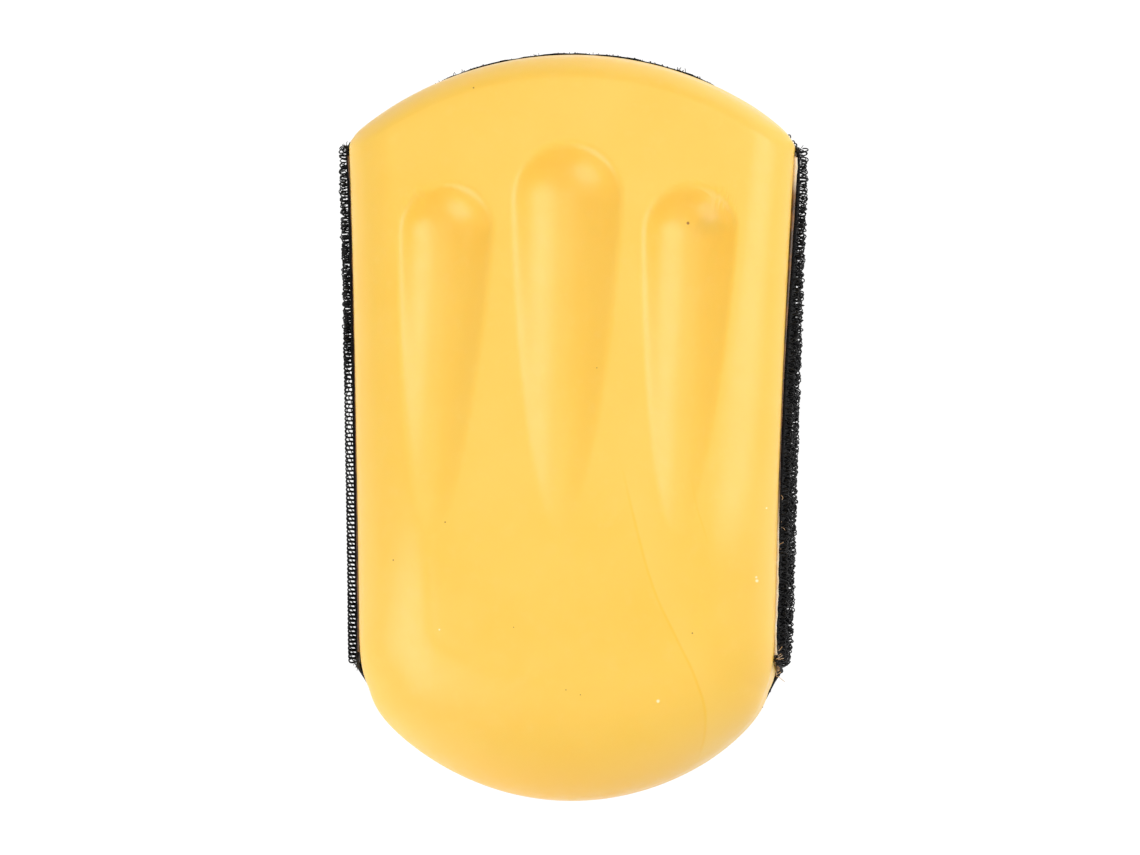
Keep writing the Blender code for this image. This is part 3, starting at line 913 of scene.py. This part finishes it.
def frayed_threads(material):
    """Loose threads along the cut edges of the sheet, in tufts and singly."""
    random = np.random.default_rng(SEED + 20)
    roots, ways, lengths = [], [], []

    def root_threads(across, y, way, long):
        root, _ = on_sheet(across, y, np.full(len(y), GLUE_THICK + THREAD_ROOT))
        roots.append(root)
        ways.append(np.tile(np.array(way, float), (len(y), 1)))
        lengths.append(long)

    def at_front(x):
        return sheet_ends(x, np.zeros(len(x)))[0] - FRONT_INSET

    for side, y, count, long, way in TUFTS:
        spread_y = y + random.normal(0, TUFT_LONG, count)
        edge = sheet_reach(spread_y) - np.abs(random.normal(0, TUFT_DEEP, count))
        root_threads(side * edge, spread_y, way, long * random.uniform(0.4, 1.1, count))
    for x, count, long in FRONT_TUFTS:
        spread_x = x + random.normal(0, FRONT_SPREAD, count)
        root_threads(spread_x, at_front(spread_x), FRONT_LEAN, long * random.uniform(0.4, 1.0, count))
    spread_x = random.uniform(-SINGLES_REACH, SINGLES_REACH, SINGLES) * MM
    short = random.uniform(0.1, 0.3, SINGLES) * MM
    root_threads(spread_x, at_front(spread_x), [0.0, 1.0, 0.0], short)
    gathered = np.concatenate(roots), np.concatenate(ways), np.concatenate(lengths)
    return threads_mesh("frayed_threads", *gathered, THREAD_THICK, SEED + 21, material)


def stained_threads(material):
    """Threads browned by glue at the right flap's rear end, and a few along its top."""
    random = np.random.default_rng(SEED + 30)
    at_end, at_top = (random.uniform(*span, STAINED) for span in (STAINED_END, STAINED_TOP))
    y = np.where(np.arange(STAINED) < STAINED_AT_END, at_end, at_top) * MM
    edge = sheet_reach(y) - random.uniform(0, 0.8, STAINED) * MM
    roots, _ = on_sheet(edge, y, np.full(STAINED, GLUE_THICK + STAINED_ROOT))
    ways = np.tile([0.5, 0.5, 0.5], (STAINED, 1))
    lengths = random.uniform(0.5, 1.3, STAINED) * MM
    named = "glue_stained_threads"
    return threads_mesh(named, roots, ways, lengths, STAINED_THICK, SEED + 31, material)


# ================================================================ camera, lights, floor
VIEW_WIDTH = 190.6 * MM  # how much of the table the picture covers from side to side, at the waist
CAMERA_DISTANCE = 2.0
CAMERA_RIGHT, CAMERA_FRONT = math.radians(2.0), math.radians(0.3)
CAMERA_TURN = math.radians(0.35)
SENSOR = 36.0
NEAR_CLIP, FAR_CLIP = 0.1, 20.0
AIM = Vector((0.35 * MM, 0.2 * MM, WAIST_SIDE))


def camera():
    """Straight above the block, leaning a little to its right."""
    data = bpy.data.cameras.new("camera")
    data.sensor_width = SENSOR
    data.lens = SENSOR * CAMERA_DISTANCE / VIEW_WIDTH
    data.clip_start, data.clip_end = NEAR_CLIP, FAR_CLIP
    eye = bpy.data.objects.new("camera", data)
    bpy.context.scene.collection.objects.link(eye)
    back = Vector((math.sin(CAMERA_RIGHT), math.sin(CAMERA_FRONT), 1.0)).normalized()
    up = Vector((-math.sin(CAMERA_TURN), math.cos(CAMERA_TURN), 0.0))
    across = up.cross(back).normalized()
    axes = Matrix((across, back.cross(across), back)).transposed()
    eye.matrix_world = Matrix.Translation(AIM + back * CAMERA_DISTANCE) @ axes.to_4x4()
    bpy.context.scene.camera = eye


# Soft boxes round the object: degrees round from the finger end, degrees up, side, strength.
SOFT_BOXES = (
    (60, 35, 1.2, 3.5),  # key box, beside the right flank and a little to the front
    (235, 40, 1.2, 3.5),  # its partner across the table, behind the left flank
    (0, 60, 0.8, 1.0),  # weak fill over the grooves' heads
)
BOX_DISTANCE = 1.5
WORLD_STRENGTH = 0.35
FLOOR_REACH = 3.0


def soft_box(round_from, up, side, strength):
    """A square lamp that faces the object. Its strength is its brightness, whatever its size."""
    light = bpy.data.lights.new("soft_box", "AREA")
    light.shape = "SQUARE"
    light.size = side
    light.energy = strength * math.pi * side * side
    made = bpy.data.objects.new("soft_box", light)
    turn, rise = math.radians(round_from), math.radians(up)
    way = Vector((math.sin(turn) * math.cos(rise), math.cos(turn) * math.cos(rise), math.sin(rise)))
    made.location = way * BOX_DISTANCE
    made.rotation_euler = (-way).to_track_quat("-Z", "Y").to_euler()
    made.visible_camera = False
    bpy.context.scene.collection.objects.link(made)


def studio():
    """The surround, the soft boxes and the floor."""
    scene = bpy.context.scene
    scene.view_settings.view_transform = "Standard"
    world = bpy.data.worlds.new("studio")
    world.use_nodes = True
    surround = world.node_tree.nodes["Background"]
    surround.inputs["Color"].default_value = rgb(1.0, 1.0, 1.0)
    surround.inputs["Strength"].default_value = WORLD_STRENGTH
    scene.world = world
    for box in SOFT_BOXES:
        soft_box(*box)
    corners = np.array([(-1, -1), (1, -1), (1, 1), (-1, 1)]) * FLOOR_REACH
    points = np.concatenate([corners, np.zeros((4, 1))], axis=1)
    square = np.array([[0, 1, 2, 3]])
    floor = make_object("floor", points, square, floor_material(), smooth_shading=False)


# ================================================================ assembly
FLAT_FROM, FLAT_TO = -35, 40  # where the sheet is widest, in millimetres along the body
AREA_FROM, AREA_TO, AREA_STEPS = -63, 65, 200


def flat_size():
    """(width, length, area) of the sheet laid flat, as it was cut."""
    spots = np.linspace(FLAT_FROM, FLAT_TO, FLAT_TO - FLAT_FROM + 1) * MM
    wide = float(2 * sheet_reach(spots).max())
    long = float(np.subtract(*sheet_ends(np.zeros(1), np.zeros(1)))[0])
    area = 0.0
    for y in np.arange(AREA_FROM, AREA_TO) * MM:
        strip = np.linspace(0, float(sheet_reach(y)), AREA_STEPS)
        front, rear = sheet_ends(strip, np.full(AREA_STEPS, y))
        area += 2 * MM * float(((y < front) & (y > rear)).mean() * strip[-1])
    return wide, long, area


def main():
    camera()
    studio()
    nylon = nylon_material("black_nylon_filament", NYLON_DARK, NYLON_PALE)

    body = foam_body()
    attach(body, "root")
    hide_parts("foam_body")

    film = glue_film()
    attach(film, "root")
    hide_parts("adhesive_film")

    hooks = hook_pieces(nylon)
    for piece in hooks:
        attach(piece, "root")
        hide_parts("hook_pile")

    stained = nylon_material("glue_stained_nylon", STAIN_DARK, STAIN_PALE)
    for piece in (frayed_threads(nylon), stained_threads(stained)):
        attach(piece, "root")
        hooks.append(piece)

    sheet = hook_sheet()
    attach(sheet, "root")
    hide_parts("hook_sheet_ground")
    wide, long, area = flat_size()


main()
